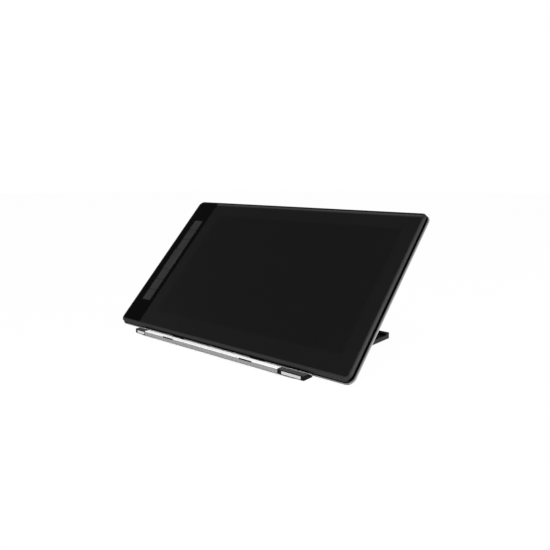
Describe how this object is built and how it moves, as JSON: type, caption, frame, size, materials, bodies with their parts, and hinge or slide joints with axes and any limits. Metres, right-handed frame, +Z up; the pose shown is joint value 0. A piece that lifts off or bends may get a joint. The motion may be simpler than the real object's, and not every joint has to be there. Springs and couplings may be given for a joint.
{
  "type": "graphics tablet with screen",
  "caption": "Pen display with a strip of press keys beside the glass, leaning on a low folding stand with a hinged plate, prop flap and metal front bar.",
  "frame": {"origin": "on the ground, in the middle of the stand's footprint", "axes": "+X along the tablet's long side, +Y to the back, +Z up"},
  "size_m": [0.4392, 0.225, 0.1894],
  "materials": {
    "bar_metal": "satin",
    "cover_metal": "blasted",
    "stand_plastic": "fine grain",
    "plate_plastic": "fine grain",
    "tray_metal": "powder coat",
    "rubber": "matt",
    "pin_steel": "turned",
    "frame_plastic": "satin",
    "etched_glass": "etched",
    "gloss_panel": "polished",
    "key_plastic": "fine grain",
    "circuit_board": "solder mask",
    "display": "polished",
    "light_film": "satin",
    "flat_cable": "film"
  },
  "bodies": {
    "base": {"front_bar": "bar_metal", "bar_inlays": "rubber", "end_block_left": "stand_plastic", "end_block_right": "stand_plastic", "block_trims": "bar_metal", "rail_left": "stand_plastic", "rail_right": "stand_plastic", "rear_bar": "stand_plastic", "base_tray": "tray_metal", "foot_tracks": "rubber", "stop_pads": "rubber", "base_feet": "rubber", "hinge_pins": "pin_steel"},
    "support_plate": {"plate_lower": "plate_plastic", "plate_left": "plate_plastic", "plate_right": "plate_plastic", "plate_upper": "plate_plastic", "plate_pads": "rubber", "prop_pins": "pin_steel"},
    "prop": {"prop_flap": "plate_plastic", "foot_rod": "pin_steel", "foot_sleeves": "rubber"},
    "tablet": {"rear_cover": "cover_metal", "mid_frame": "frame_plastic", "cover_glass": "etched_glass", "key_panel": "gloss_panel", "touch_bar": "key_plastic", "dome_mat": "rubber", "key_board": "circuit_board", "lcd_panel": "display", "backlight": "light_film", "digitizer_board": "circuit_board", "shield_sheet": "pin_steel", "main_board": "circuit_board", "port_board": "circuit_board", "usb_sockets": "pin_steel", "display_flex": "flat_cable", "key_flex": "flat_cable", "rear_feet": "rubber", "rear_screws": "pin_steel", "status_light": "light_film"},
    "key_1": {"express_key_1": "key_plastic"},
    "key_2": {"express_key_2": "key_plastic"},
    "key_3": {"express_key_3": "key_plastic"},
    "key_4": {"express_key_4": "key_plastic"},
    "key_5": {"express_key_5": "key_plastic"},
    "key_6": {"express_key_6": "key_plastic"},
    "power_key": {"power_button": "frame_plastic"}
  },
  "joints": [
    {"name": "stand_tilt", "type": "hinge", "parent": "base", "child": "support_plate", "pos_m": [0, -0.0828, 0.009], "axis": [1, 0, 0], "range_deg": [-45, 0]},
    {"name": "prop_fold", "type": "hinge", "parent": "support_plate", "child": "prop", "pos_m": [0, -0.0234, 0.0684], "axis": [1, 0, 0], "range_deg": [0, 90]},
    {"name": "tablet_lift", "type": "slide", "parent": "support_plate", "child": "tablet", "axis": [0, -0.7071, 0.7071], "range_m": [0, 0.06]},
    {"name": "key_1_press", "type": "slide", "parent": "tablet", "child": "key_1", "axis": [0, 0.7071, -0.7071], "range_m": [0, 0.0007], "stiffness_N_per_m": 700, "springref_m": -0.0006},
    {"name": "key_2_press", "type": "slide", "parent": "tablet", "child": "key_2", "axis": [0, 0.7071, -0.7071], "range_m": [0, 0.0007], "stiffness_N_per_m": 700, "springref_m": -0.0006},
    {"name": "key_3_press", "type": "slide", "parent": "tablet", "child": "key_3", "axis": [0, 0.7071, -0.7071], "range_m": [0, 0.0007], "stiffness_N_per_m": 700, "springref_m": -0.0006},
    {"name": "key_4_press", "type": "slide", "parent": "tablet", "child": "key_4", "axis": [0, 0.7071, -0.7071], "range_m": [0, 0.0007], "stiffness_N_per_m": 700, "springref_m": -0.0006},
    {"name": "key_5_press", "type": "slide", "parent": "tablet", "child": "key_5", "axis": [0, 0.7071, -0.7071], "range_m": [0, 0.0007], "stiffness_N_per_m": 700, "springref_m": -0.0006},
    {"name": "key_6_press", "type": "slide", "parent": "tablet", "child": "key_6", "axis": [0, 0.7071, -0.7071], "range_m": [0, 0.0007], "stiffness_N_per_m": 700, "springref_m": -0.0006},
    {"name": "power_press", "type": "slide", "parent": "tablet", "child": "power_key", "axis": [0, -0.7071, -0.7071], "range_m": [0, 0.0006], "stiffness_N_per_m": 700, "springref_m": -0.0006}
  ],
  "couplings": [
    {"joint": "prop_fold", "follows": "stand_tilt", "ratio": -2}
  ]
}
